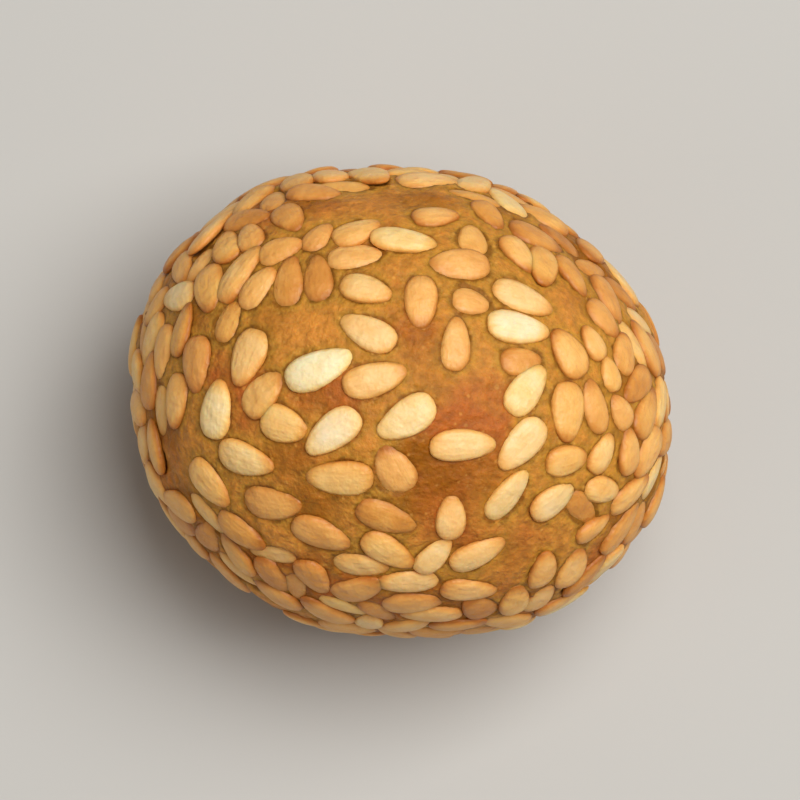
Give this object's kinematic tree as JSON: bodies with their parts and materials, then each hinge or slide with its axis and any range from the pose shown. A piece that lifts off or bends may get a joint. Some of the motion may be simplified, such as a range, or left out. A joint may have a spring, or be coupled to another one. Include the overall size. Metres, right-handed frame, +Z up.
{
  "type": "maamoul cookie",
  "caption": "Small round hand-rolled maamoul cookie, baked and coated all over in sesame seeds, resting on a small flat spot.",
  "frame": {"origin": "centre of the cookie's box on the plane of its flat foot, at the object's base", "axes": "+Z up out of the foot, +X along the long way of its oval plan, +Y along the short way"},
  "size_m": [0.032, 0.0276, 0.027],
  "materials": {
    "baked_dough": "baked crust, softly glossy",
    "sesame_seed": "toasted sesame seed, smooth and softly glossy"
  },
  "bodies": {
    "root": {"maamoul_ball": "baked_dough"}
  },
  "joints": []
}
